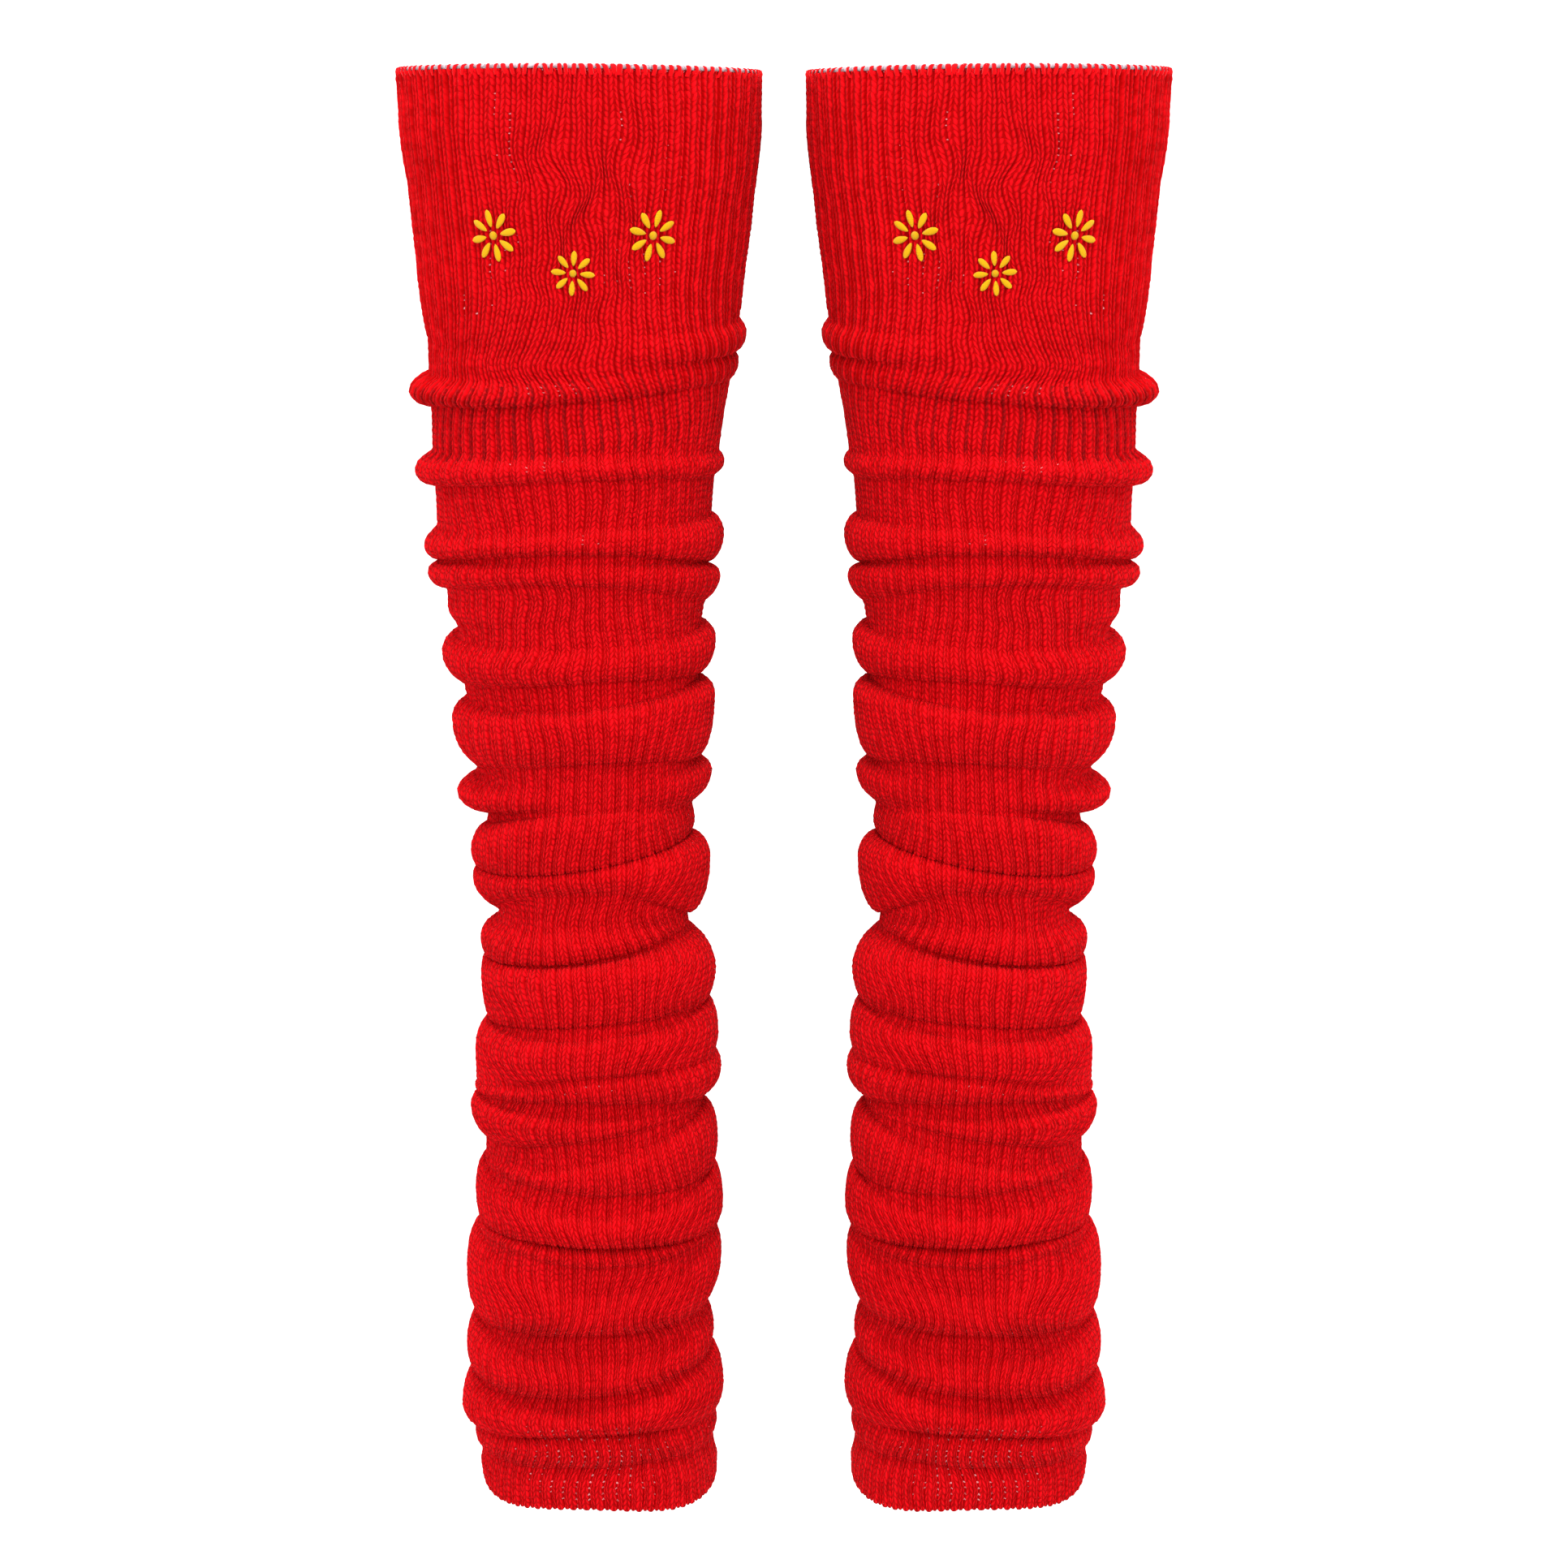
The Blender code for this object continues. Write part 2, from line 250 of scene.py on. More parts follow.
# Yarn laid thread by thread: its threads for each unit of its map, and how far they slant
LOOP_THREADS = 0.5
SATIN_THREADS = 15.0
YARN_SLANT = 1.5
# How the yarn's colour goes from painted shade between its threads to its crest colour with height
YARN_LIGHT_BY_HEIGHT = 0.6
YARN_LIGHT_IN_GAPS = 0.35
YARN_BUMP = 0.2 * MM
YARN_ROUGHNESS = 0.6
YARN_SHEEN = 0.15
YARN_GLOSS = 0.03
SHEEN_ROUGHNESS = 0.45

# How far the wales wander sideways round the leg, in radians: size, length of a wave, turns, start
WANDER = (
    (0.028, 19.0 * MM, 2, 0.7),
    (0.014, 12.7 * MM, -3, 2.1),
    (0.034, 47.0 * MM, 1, 4.0),
    (0.006, 6.1 * MM, 4, 1.3),
)
WANDER_FROM = 100.0 * MM
WANDER_FULL = 160.0 * MM
WANDER_IN_BAND = 0.3

# How much closer together the wales are at the front than all round, at each depth
CROWDING_DEPTHS = (0, 110, 200, 290, 370, 450, 500, 575, 640, 690)
CROWDING = (0.10, 0.12, 0.03, -0.09, -0.12, -0.09, 0.05, 0.09, 0.11, 0.05)

# How much wider the wales are at the sides than at the front and back, in the stretched band
SPREAD_DEPTHS = (0, 100, 150)
SPREAD = (0.09, 0.09, 0.0)

# Where the cloth is twisted so that its wales lean: angle, depth, half the width in degrees, half the
# height, and how far they lean to the right for each step down
Lean = namedtuple("Lean", "angle depth wide high slope")
LEANS = (
    Lean(259, 46, 14, 11, 0.42),
    Lean(275, 62, 9, 9, -0.30),
    Lean(285, 42, 9, 12, 0.30),
    Lean(294, 40, 12, 13, -0.30),
    Lean(252, 98, 16, 9, 0.30),
    Lean(284, 104, 14, 9, -0.30),
    Lean(258, 137, 34, 10, 0.75),
    Lean(300, 168, 26, 12, -0.30),
    Lean(248, 232, 24, 10, 0.35),
    Lean(250, 266, 26, 9, -0.50),
    Lean(240, 312, 26, 12, -0.25),
    Lean(262, 386, 34, 11, -0.55),
    Lean(300, 424, 26, 12, 0.35),
    Lean(248, 470, 26, 12, 0.40),
    Lean(246, 527, 34, 14, -0.55),
    Lean(296, 566, 28, 14, -0.40),
    Lean(252, 606, 30, 14, 0.35),
    Lean(262, 662, 40, 12, -0.35),
)

# On both sides of these folds the wales turn inwards: how far round from the front and half how wide,
# in degrees, and how far they lean for each step down
TURNED_FOLDS = "kmnprtuv"
TURNED_FROM_FRONT = 50
TURNED_WIDE = 24
TURNED_SLOPE = 1.0

# The leg's usual radius at each depth, without its folds, and how far the wales keep upright over them
USUAL_DEPTHS = (0, 95, 150, 250, 330, 390, 450, 520, 650, 690)
USUAL_RADII = (82, 75, 70, 61, 54, 51, 54, 56, 60, 58)
UPRIGHT = 0.9

# Small puckers in the band's front: sideways size, height of a wave, turns, start. Each also raises the
# cloth, a little further down.
PUCKERS = (
    (0.9 * MM, 8.5 * MM, 11, 0.4),
    (0.7 * MM, 6.3 * MM, -17, 2.9),
    (0.5 * MM, 4.7 * MM, 23, 5.1),
)
PUCKER_DEPTH = 62.0 * MM
PUCKER_HIGH = 42.0 * MM
PUCKER_WIDE = 52.0 * MM
PUCKER_RISE = 0.22 * MM
PUCKER_LAG = 1

# How much of the band's top the rim's loops take, the tucked top of the knit under them, the loops
# themselves and the hem's rolled edge: out and down
RIM_GAP = 2.2 * MM
RIM_TUCK = ((-1.3, 0.1), (-0.5, -0.1))
LOOP_WIDE = 1.0 * MM
LOOP_THICK = 0.5 * MM
LOOP_LEAN = 0.8 * MM
LOOP_VARIES = 0.18
LOOP_SHIFT = 0.4 * MM
LOOP_PATH = (
    (-0.7, 4.6), (-0.1, 3.4), (0.25, 2.0), (-0.1, 0.7), (-1.1, 0.35), (-2.0, 0.7), (-2.5, 2.2),
)
LOOP_SIDES = 6
HEM_ROLL = ((-0.25, 0.5), (-0.95, 0.85), (-1.8, 0.3))
SCALLOP = 0.5 * MM
HEM_RELIEF = 0.35
SCALLOP_SHAPE = np.array((-0.7, 0.45, 1.0, 0.45, -0.7, -0.15, 0.2, -0.15))

# The white inner face: its sides, its steps on each slope, and its roll over the rim and under the hem,
# out and down
LINING_SIDES = 80
LINING_STEPS = 1
LINING_RIM = ((-2.3, 3.6), (-1.3, 2.5), (-0.45, 1.7), (-0.4, 0.7), (-1.2, 0.15), (-2.2, 0.5))
LINING_HEM = ((-2.3, -0.6), (-1.9, -0.1))

# Where the knit is stretched until its white inner side shows as dots: angle, depth, half the width
# in degrees, half the height, and share of stitches
Opening = namedtuple("Opening", "angle depth wide high share")
OPENINGS = (
    Opening(262, 141, 26, 5, 0.75),
    Opening(258, 176, 22, 5, 0.70),
    Opening(276, 210, 14, 5, 0.65),
    Opening(268, 300, 30, 14, 0.22),
    Opening(269, 471, 22, 5, 0.60),
    Opening(270, 592, 48, 8, 0.50),
    Opening(268, 643, 66, 6, 1.00),
    Opening(270, 655, 56, 10, 0.95),
    Opening(270, 671, 56, 14, 0.90),
    Opening(249, 30, 5, 44, 0.75),
    Opening(287, 30, 4, 44, 0.60),
    Opening(304, 56, 4, 44, 0.70),
    Opening(243, 84, 20, 20, 0.50),
    Opening(295, 92, 20, 18, 0.50),
    Opening(232, 108, 16, 18, 0.60),
)
OPENING_EDGE = 1.6

# The embroidered daisies on the front of each band: angle, depth, size, turn
Daisy = namedtuple("Daisy", "angle depth size turn")
DAISIES = (
    Daisy(243.0, 74.0, 1.00, 12.0),
    Daisy(270.0, 90.0, 0.86, 40.0),
    Daisy(297.0, 74.0, 1.00, 75.0),
)

# A daisy's petals and middle knot in mm. A petal is widest past its middle, with full round ends.
PETALS = 8
PETAL_FROM = 3.6
PETAL_TO = 11.6
PETAL_WIDTH = 3.9
PETAL_ROUND = 0.55
PETAL_ROOT = 0.62
PETAL_RISE = 0.55
KNOT_RISE = PETAL_RISE * 1.3
KNOT_RADIUS = 1.9
STITCH_LIFT = 0.9
PATCH_LONG = 10
PATCH_ACROSS = 6

# How far each daisy draws the wales together and the cloth in, and how far round it
PULL = 1.6 * MM
PULL_REACH = 17.0 * MM
DENT = 0.4 * MM

# Colours of crests and of the painted shade in the gaps between stitches and threads, of the white inner side
# where it shows, of the surround and of the sheen
RED_CREST = (0.79, 0.0030, 0.0076, 1.0)
RED_GAP_PAINTED_SHADE = (0.31, 0.0001, 0.0002, 1.0)
LOOP_GAP_PAINTED_SHADE = (0.52, 0.0010, 0.0020, 1.0)
SHOWING_WHITE = (0.90, 0.42, 0.44, 1.0)
WHITE_CREST = (0.48, 0.40, 0.43, 1.0)
WHITE_GAP_PAINTED_SHADE = (0.42, 0.34, 0.37, 1.0)
YELLOW_CREST = (0.72, 0.40, 0.004, 1.0)
YELLOW_GAP_PAINTED_SHADE = (0.56, 0.27, 0.002, 1.0)
WHITE = (1.0, 1.0, 1.0, 1.0)
RED_SHEEN = (1.0, 0.35, 0.35, 1.0)
YELLOW_SHEEN = (1.0, 0.9, 0.5, 1.0)

# Each light's name, place, size and power, and where they all point
WORLD_STRENGTH = 1.45
LIGHTS = (
    ("key", (0.0, -1.7, 1.1), 0.9, 18.0),
    ("top", (0.0, -0.5, 1.4), 0.9, 26.0),
)
LIGHTS_AIM = (0.0, 0.0, -0.34)
CAMERA_PLACE = (0.0, -1.515, 0.0)
CAMERA_TILT = 12.5
CAMERA_LENS = 74.66
CAMERA_SENSOR = 36.0

# Where a Mix node keeps its two colours and their mixture
MIX_LOW = 6
MIX_HIGH = 7
MIX_RESULT = 2


def around(values, swing, angles):
    """Carries values given at the left, front and right smoothly round the leg."""
    left, front, right = values
    back = (left + right) / 2 + swing
    mean = (left + front + right + back) / 4
    sideways = (right - left) / 2 * np.cos(angles)
    lengthways = (back - front) / 2 * np.sin(angles)
    oval = (left + right - front - back) / 4 * np.cos(2 * angles)
    return mean + sideways + lengthways + oval


def ring(depths, radii, angles):
    """One ring's depth and radius at each angle."""
    level = (depths[0] + depths[2]) / 2
    depth = around(depths, BACK_DEPTH_SWING * math.sin(level / BACK_DEPTH_WAVE), angles)
    radius = around(radii, BACK_RADIUS_SWING * math.sin(level / BACK_RADIUS_WAVE), angles)
    return depth * MM, radius * MM


def below(line, upper):
    """The same line, kept at least one step below the upper one."""
    return np.maximum(line[0], upper[0] + LEAST_STEP), line[1]


def flank(near, far, fullness, share):
    """A ring of the slope between a ridge and the line where it meets the cloth beside it."""
    out = (1 + math.cos(math.pi * share)) / 2
    full = fullness * np.clip((near[1] - far[1]) / FULL_REACH, 0, 1)
    along = share + full * math.sin(math.pi * share)
    depth = near[0] + (far[0] - near[0]) * along
    return depth, far[1] + (near[1] - far[1]) * out


def fold_rings(above, fold, angles, steps):
    """The rings from just under one crease, over a ridge, and in to the next crease."""
    top = below(ring(fold.top, fold.ridge_radius, angles), above)
    ridge = below(ring(fold.ridge, fold.ridge_radius, angles), top)
    crease = below(ring(fold.crease, fold.crease_radius, angles), ridge)
    line = (crease[1] - above[1]) / (crease[0] - above[0])
    top = (top[0], above[1] + line * (top[0] - above[0]))
    shelf = around(fold.shelf, 0, angles)
    lip = np.minimum(around(fold.lip, 0, angles) * LIP_FULLER, FULLEST_LIP)
    found = [top]
    found += [flank(ridge, top, shelf, 1 - k / steps) for k in range(1, steps)]
    found.append(ridge)
    found += [flank(ridge, crease, lip, k / steps) for k in range(1, steps)]
    found.append(crease)
    return found


def all_rings(angles, steps):
    """Every ring from the rim to the hem, and the number of the ring at each named line."""
    rings = [ring(section.depth, section.radius, angles) for section in BAND]
    lines = {"rim": 0}
    for fold in FOLDS:
        rings += fold_rings(rings[-1], fold, angles, steps)
        lines[fold.name] = len(rings) - 1
    rings.append(ring(HEM_FLARE.depth, HEM_FLARE.radius, angles))
    depth, radius = ring(HEM.depth, HEM.radius, angles)
    corner = np.sin(2 * angles) ** 2
    rings.append((depth + HEM_CORNER_DEPTH * corner, radius + HEM_CORNER_RADIUS * corner))
    lines["hem"] = len(rings) - 1
    return rings, lines


def stacked(lines):
    """A list of lines as one grid of depths and one of radii."""
    return np.array([line[0] for line in lines]), np.array([line[1] for line in lines])


def beside(depth, radius, moves):
    """Lines beside an edge of the cloth, each moved out and down from it by so many millimetres."""
    return stacked([(depth + down * MM, radius + out * MM) for out, down in moves])


def inner_face(depth, radius):
    """The same rings moved in by the wall, along the line that halves the bend at each ring."""
    down = np.diff(depth, axis=0)
    out = np.diff(radius, axis=0)
    length = np.maximum(np.hypot(down, out), TINY)
    down = np.vstack((np.ones_like(down[:1]), down / length, np.ones_like(down[:1])))
    out = np.vstack((np.zeros_like(out[:1]), out / length, np.zeros_like(out[:1])))
    mid_down = down[:-1] + down[1:]
    mid_out = out[:-1] + out[1:]
    length = np.maximum(np.hypot(mid_down, mid_out), TINY)
    wall = WALL * np.minimum(2 / length, SHARPEST_BEND)
    inner_depth = depth + wall * mid_out / length
    for row in range(1, len(depth)):
        inner_depth[row] = np.maximum(inner_depth[row], inner_depth[row - 1] + LEAST_INNER_STEP)
    return inner_depth, radius - wall * mid_down / length


def steps_down(depth, radius):
    """Length of cloth from the first ring to each ring, at each angle."""
    length = np.hypot(np.diff(depth, axis=0), np.diff(radius, axis=0))
    return np.vstack((np.zeros(depth.shape[1]), np.cumsum(length, axis=0)))


def resampled(depth, radius, first, rows):
    """The same cloth in equal steps at each angle, leaving out the first stretch of it."""
    run = steps_down(depth, radius)
    new_depth = np.empty((rows + 1, depth.shape[1]))
    new_radius = np.empty_like(new_depth)
    for k in range(depth.shape[1]):
        places = np.linspace(first, run[-1, k], rows + 1)
        new_depth[:, k] = np.interp(places, run[:, k], depth[:, k])
        new_radius[:, k] = np.interp(places, run[:, k], radius[:, k])
    return new_depth, new_radius


def round_leg(grid, rows, angles):
    """Values of a grid with even angles, read at any angle in each row."""
    count = grid.shape[1]
    place = angles / (2 * math.pi) * count
    low = np.floor(place).astype(int)
    share = place - low
    low %= count
    return grid[rows, low] * (1 - share) + grid[rows, (low + 1) % count] * share


def turn_between(angle, other):
    """The shortest turn from one angle to another, in radians."""
    return (angle - other + math.pi) % (2 * math.pi) - math.pi


def puckered(angle, depth):
    """How strongly the cloth is puckered there, from 0 to 1."""
    aside = turn_between(angle, FRONT) * BAND_RADIUS / PUCKER_WIDE
    beyond = (depth - PUCKER_DEPTH) / PUCKER_HIGH
    return np.exp(-aside ** 2 - beyond ** 2)


def kept_upright(angle, depth, radius):
    """How far a wale is pushed round the leg to run straight down over a fold."""
    usual = np.interp(depth / MM, USUAL_DEPTHS, USUAL_RADII) * MM
    return UPRIGHT * (usual / radius - 1) * np.sin(2 * (angle - FRONT)) / 2


def turned_folds():
    """The lean on the left and the right side of each fold whose wales turn inwards."""
    found = []
    for fold in FOLDS:
        if fold.name not in TURNED_FOLDS:
            continue
        for side, place in ((-1, 0), (1, 2)):
            angle = math.degrees(FRONT) + side * TURNED_FROM_FRONT
            high = (fold.crease[place] - fold.top[place]) / 2
            found.append(Lean(angle, fold.top[place] + high, TURNED_WIDE, high, -side * TURNED_SLOPE))
    return tuple(found)


def wander(angle, depth):
    """How far a wale is pushed round the leg there, by waves, leans, puckers and the embroidery."""
    ramp = np.clip((depth - WANDER_FROM) / (WANDER_FULL - WANDER_FROM), 0, 1)
    size = WANDER_IN_BAND + (1 - WANDER_IN_BAND) * ramp * ramp * (3 - 2 * ramp)
    shift = np.zeros_like(depth)
    for reach, wave, turns, start in WANDER:
        shift += reach * np.sin(depth / wave + turns * angle + start)
    shift *= size
    for lean in LEANS + turned_folds():
        aside = turn_between(angle, math.radians(lean.angle)) / math.radians(lean.wide)
        beyond = (depth - lean.depth * MM) / (lean.high * MM)
        near = np.exp(-aside ** 2 - beyond ** 2)
        shift += lean.slope * lean.high * MM / LEG_RADIUS * beyond * near
    front = turn_between(angle, FRONT)
    shift -= np.interp(depth / MM, CROWDING_DEPTHS, CROWDING) * np.sin(front)
    shift -= np.interp(depth / MM, SPREAD_DEPTHS, SPREAD) * np.sin(2 * front)
    near = puckered(angle, depth)
    for reach, wave, turns, start in PUCKERS:
        shift += reach / BAND_RADIUS * near * np.sin(depth / wave + turns * angle + start)
    for daisy in DAISIES:
        aside = turn_between(angle, math.radians(daisy.angle)) * BAND_RADIUS
        beyond = depth - daisy.depth * MM
        near = np.exp(-(aside ** 2 + beyond ** 2) / PULL_REACH ** 2)
        shift -= PULL * aside / PULL_REACH * near / BAND_RADIUS
    return shift


def dent(angle, depth):
    """How far the embroidery draws the cloth in there."""
    found = np.zeros_like(depth)
    for daisy in DAISIES:
        aside = turn_between(angle, math.radians(daisy.angle)) * BAND_RADIUS
        beyond = depth - daisy.depth * MM
        found += DENT * np.exp(-(aside ** 2 + beyond ** 2) / PULL_REACH ** 2)
    return found


def openness(angle, depth):
    """Share of the stitches there that are stretched open."""
    share = np.zeros_like(depth)
    for spot in OPENINGS:
        aside = turn_between(angle, math.radians(spot.angle)) / math.radians(spot.wide)
        beyond = (depth - spot.depth * MM) / (spot.high * MM)
        near = np.clip(OPENING_EDGE * (1 - np.hypot(aside, beyond)), 0, 1)
        share = np.maximum(share, spot.share * near)
    return share


def outward(points):
    """The outward direction at each point of a grid that closes on itself from its last column."""
    along = np.roll(points, -1, axis=1) - np.roll(points, 1, axis=1)
    down = np.gradient(points, axis=0)
    normal = np.cross(down, along)
    return normal / np.maximum(np.linalg.norm(normal, axis=2, keepdims=True), TINY)


def grid_triangles(rows, columns, closed):
    """Triangles of a grid of points, as rows and columns of corners, cut along the stitches' legs."""
    r, c = np.meshgrid(np.arange(rows - 1), np.arange(columns if closed else columns - 1), indexing="ij")
    r, c = r.ravel(), c.ravel()
    top_left = np.stack((r, c), 1)
    top_right = np.stack((r, c + 1), 1)
    low_left = np.stack((r + 1, c), 1)
    low_right = np.stack((r + 1, c + 1), 1)
    falling = (c % WALE_COLUMNS >= WALE_COLUMNS // 2)[:, None, None]
    first = np.where(falling, np.stack((top_left, low_left, low_right), 1),
                     np.stack((top_left, low_left, top_right), 1))
    second = np.where(falling, np.stack((top_left, low_right, top_right), 1),
                      np.stack((low_left, low_right, top_right), 1))
    return np.concatenate((first, second))


def make_piece(name, points, corners, columns, maps, material, hand):
    """A mesh from a grid of points, with a texture map for each name, mirrored where hand is -1."""
    flat = points.reshape(-1, 3).copy()
    flat[:, 0] = hand * flat[:, 0] - hand * LEG_SPACING / 2
    if hand < 0:
        corners = corners[:, ::-1]
    rows = corners[..., 0]
    columns_of = corners[..., 1]
    indices = rows * columns + columns_of % columns
    mesh = bpy.data.meshes.new(name)
    mesh.vertices.add(len(flat))
    mesh.vertices.foreach_set("co", flat.astype(np.float32).ravel())
    mesh.loops.add(indices.size)
    mesh.loops.foreach_set("vertex_index", indices.astype(np.int32).ravel())
    mesh.polygons.add(len(indices))
    mesh.polygons.foreach_set("loop_start", np.arange(0, indices.size, indices.shape[1], dtype=np.int32))
    for map_name, (across, down) in maps.items():
        layer = mesh.uv_layers.new(name=map_name)
        places = np.stack((across[columns_of], down[rows]), -1)
        layer.uv.foreach_set("vector", places.astype(np.float32).ravel())
    mesh.update(calc_edges=True)
    mesh.shade_smooth()
    mesh.materials.append(material)
    piece = bpy.data.objects.new(name, mesh)
    bpy.context.scene.collection.objects.link(piece)
    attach(piece, "root")
    return piece


def knit_rows(base, lines):
    """The cloth from rim to hem in rows of half a course, with the row at which each length ends."""
    depths = []
    radii = []
    ends = [len(RIM_TUCK)]
    for length in LENGTHS:
        start, end = lines[length.start], lines[length.end] + 1
        depth, radius = stacked(base[start:end])
        first = RIM_GAP if length.start == "rim" else 0.0
        cloth = float(np.mean(steps_down(depth, radius)[-1])) - first
        rows = 2 * int(round(cloth / COURSE))
        depth, radius = resampled(depth, radius, first, rows)
        depths.append(depth[1 if depths else 0:])
        radii.append(radius[1 if radii else 0:])
        ends.append(ends[-1] + rows)
    depth = np.vstack(depths)
    radius = np.vstack(radii)
    tuck_depth, tuck_radius = beside(depth[0], radius[0], RIM_TUCK)
    roll_depth, roll_radius = beside(depth[-1], radius[-1], HEM_ROLL)
    depth = np.vstack((tuck_depth, depth, roll_depth))
    radius = np.vstack((tuck_radius, radius, roll_radius))
    return depth, radius, ends


def wale_angles(level):
    """The angle of every column of points at each level, before the wales wander."""
    split = np.interp(level, SPLIT_DEPTHS, SPLIT_SHARES)
    pair = np.floor(ALL_PLACES)
    place = ALL_PLACES - pair
    in_wide = place / SPLIT * split
    in_narrow = 1 - (1 - place) / (1 - SPLIT) * (1 - split)
    return (pair + np.where(place < SPLIT, in_wide, in_narrow)) / PAIRS * 2 * math.pi


def knit_relief(level, angle, depth, ends):
    """How far each point stands out from the smooth cloth."""
    random = np.random.default_rng(SEED)
    at_foot = np.arange(len(angle))[:, None] % 2 == 0
    stands = np.where(at_foot, np.tile(COLUMN_FOOT, PAIRS), np.tile(COLUMN_TIP, PAIRS))
    stands = stands + UNEVEN * random.standard_normal(angle.shape)
    stands = stands + np.tile(SUNK_IN_BAND, PAIRS) * np.interp(level, SUNK_DEPTHS, SUNK_SHARES)
    lumps = np.sin(angle * LUMP_TURNS[0] + depth / LUMP_LONG[0])
    lumps = lumps * np.sin(angle * LUMP_TURNS[1] - depth / LUMP_LONG[1] + LUMP_START)
    rise = RELIEF * stands + LUMP * lumps
    near = puckered(angle, depth)
    for _, wave, turns, start in PUCKERS:
        rise += PUCKER_RISE * near * np.sin(depth / wave + turns * angle + start + PUCKER_LAG)
    rise[:ends[0]] = 0.0
    rise[ends[-1]:] *= HEM_RELIEF
    return rise


def knit_points(depth, radius, ends):
    """The points of the whole outer face with its ribs and stitches, and each one's angle and depth."""
    row_of = np.repeat(np.arange(len(depth))[:, None], len(ALL_PLACES), axis=1)
    level = np.mean(depth, axis=1)[:, None] / MM
    angle = wale_angles(level)
    first_depth = round_leg(depth, row_of, angle)
    upright = kept_upright(angle, first_depth, round_leg(radius, row_of, angle))
    angle = angle + upright + wander(angle, first_depth)
    here_depth = round_leg(depth, row_of, angle)
    here_radius = round_leg(radius, row_of, angle) - dent(angle, here_depth)
    points = np.stack((here_radius * np.cos(angle), here_radius * np.sin(angle), -here_depth), -1)
    rise = knit_relief(level, angle, here_depth, ends)
    points = points + outward(points) * rise[..., None]
    points[ends[-1]:, :, 2] -= SCALLOP * np.tile(SCALLOP_SHAPE, PAIRS)
    return points, angle, here_depth


def knit_pieces(side, grid, ends, hand):
    """The outer face in its four lengths."""
    points, angle, depth = grid
    columns = points.shape[1]
    across = np.append(ALL_PLACES, PAIRS)
    shares = openness(angle, depth)
    tops = [0] + ends[1:-1]
    lows = ends[1:-1] + [len(points) - 1]
    pieces = []
    for length, top, low in zip(LENGTHS, tops, lows):
        rows = low - top + 1
        maps = {
            "Stitches": (across, np.arange(top, low + 1) / 2),
            "OFBake": (across / PAIRS, 1 - np.arange(rows) / (rows - 1)),
        }
        corners = grid_triangles(rows, columns, True)
        piece = make_piece(f"{side}_{length.name}_knit", points[top:low + 1], corners, columns, maps,
                           materials["red_rib_knit"], hand)
        found = shares[top:low + 1].astype(np.float32).ravel()
        piece.data.attributes.new("open", "FLOAT", "POINT").data.foreach_set("value", found)
        pieces.append(piece)
    return pieces


def loops(side, base, hand):
    """The loops of red yarn over the rim, one at the middle of each wale."""
    random = np.random.default_rng(SEED)
    depth, radius = base[0]
    middles = np.arange(PAIRS)[:, None] + WALE_MIDDLES
    angles = middles.ravel() / PAIRS * 2 * math.pi
    angles = angles + wander(angles, np.full(len(angles), RIM_GAP))
    zero = np.zeros(len(angles), int)
    rim_depth = round_leg(depth[None], zero, angles)
    rim_radius = round_leg(radius[None], zero, angles)
    path = np.array(LOOP_PATH) * MM
    run = np.gradient(path, axis=0)
    run /= np.linalg.norm(run, axis=1, keepdims=True)
    turn = np.arange(LOOP_SIDES) * 2 * math.pi / LOOP_SIDES
    off = LOOP_THICK * np.sin(turn)
    grids = []
    for a, d, r in zip(angles, rim_depth, rim_radius):
        lean, wider, shift = random.standard_normal(3)
        aside = LOOP_WIDE * (1 + LOOP_VARIES * wider) * np.cos(turn) + LOOP_SHIFT * shift
        aside = aside + LOOP_LEAN * lean * np.linspace(1, -1, len(path))[:, None]
        out = r + path[:, :1] + run[:, 1:] * off
        down = d + path[:, 1:] - run[:, :1] * off
        x = out * math.cos(a) - aside * math.sin(a)
        y = out * math.sin(a) + aside * math.cos(a)
        grids.append(np.stack((x, y, -down), -1))
    count = len(grids)
    long = len(path)
    tube = grid_triangles(long, LOOP_SIDES, True)
    corners = np.concatenate([tube + np.array((k * long, 0)) for k in range(count)])
    maps = {
        "Stitches": (np.linspace(0, 1, LOOP_SIDES + 1), np.tile(np.arange(long) / 2, count)),
        "OFBake": (np.linspace(0, 1, LOOP_SIDES + 1), np.linspace(1, 0, count * long)),
    }
    make_piece(f"{side}_rim_loops", np.concatenate(grids), corners, LOOP_SIDES, maps,
               materials["red_yarn"], hand)


def lining(side, hand):
    """The white inner face, which rolls over the rim under the loops and under the hem."""
    angles = np.arange(LINING_SIDES) * 2 * math.pi / LINING_SIDES
    depth, radius = stacked(all_rings(angles, LINING_STEPS)[0])
    inner_depth, inner_radius = inner_face(depth, radius)
    rim_depth, rim_radius = beside(depth[0], radius[0], LINING_RIM)
    hem_depth, hem_radius = beside(depth[-1], radius[-1], LINING_HEM)
    depth = np.vstack((rim_depth, inner_depth[1:-1], hem_depth))
    radius = np.vstack((rim_radius, inner_radius[1:-1], hem_radius))
    points = np.stack((radius * np.cos(angles), radius * np.sin(angles), -depth), -1)
    rows = len(points)
    run = np.mean(steps_down(depth, radius), axis=1)
    maps = {
        "Stitches": (np.linspace(0, PAIRS, LINING_SIDES + 1), run / COURSE),
        "OFBake": (np.linspace(0, 1, LINING_SIDES + 1), 1 - np.arange(rows) / (rows - 1)),
    }
    corners = grid_triangles(rows, LINING_SIDES, True)
    piece = make_piece(f"{side}_inner_face", points, corners, LINING_SIDES, maps,
                       materials["white_knit_back"], hand)


